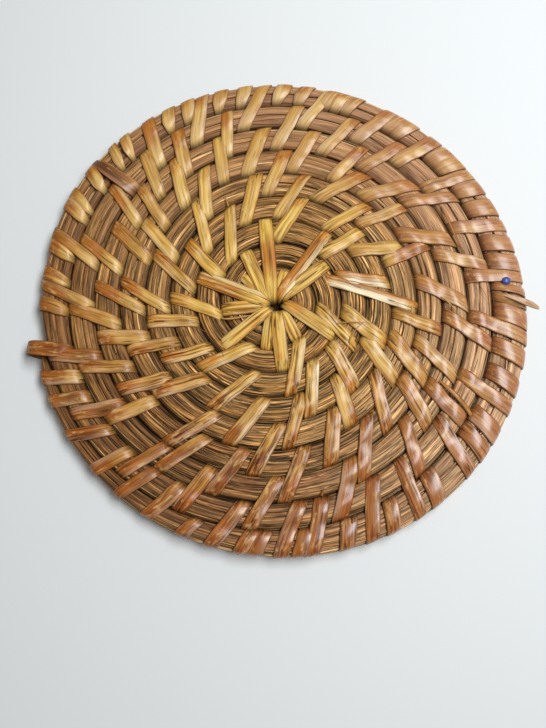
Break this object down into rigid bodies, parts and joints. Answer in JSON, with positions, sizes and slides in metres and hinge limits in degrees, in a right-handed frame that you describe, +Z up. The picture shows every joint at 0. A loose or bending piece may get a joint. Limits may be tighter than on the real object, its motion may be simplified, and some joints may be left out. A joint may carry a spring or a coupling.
{
  "type": "rattan mat",
  "caption": "Round, flat mat of coiled rattan, sewn with flat peel over two rounds at a time, to lie under a hot dish, pot or cup.",
  "frame": {"origin": "middle of the bounds, on the surface that the mat lies on", "axes": "+Z up out of the mat's top face; the coil's end loop points towards -X, and -Y is the side nearest to the viewer of the picture"},
  "size_m": [0.1838, 0.181, 0.0092],
  "materials": {
    "rattan": "smoked rattan, satin peel over a dull core"
  },
  "bodies": {
    "root": {"rattan_coil": "rattan"}
  },
  "joints": []
}
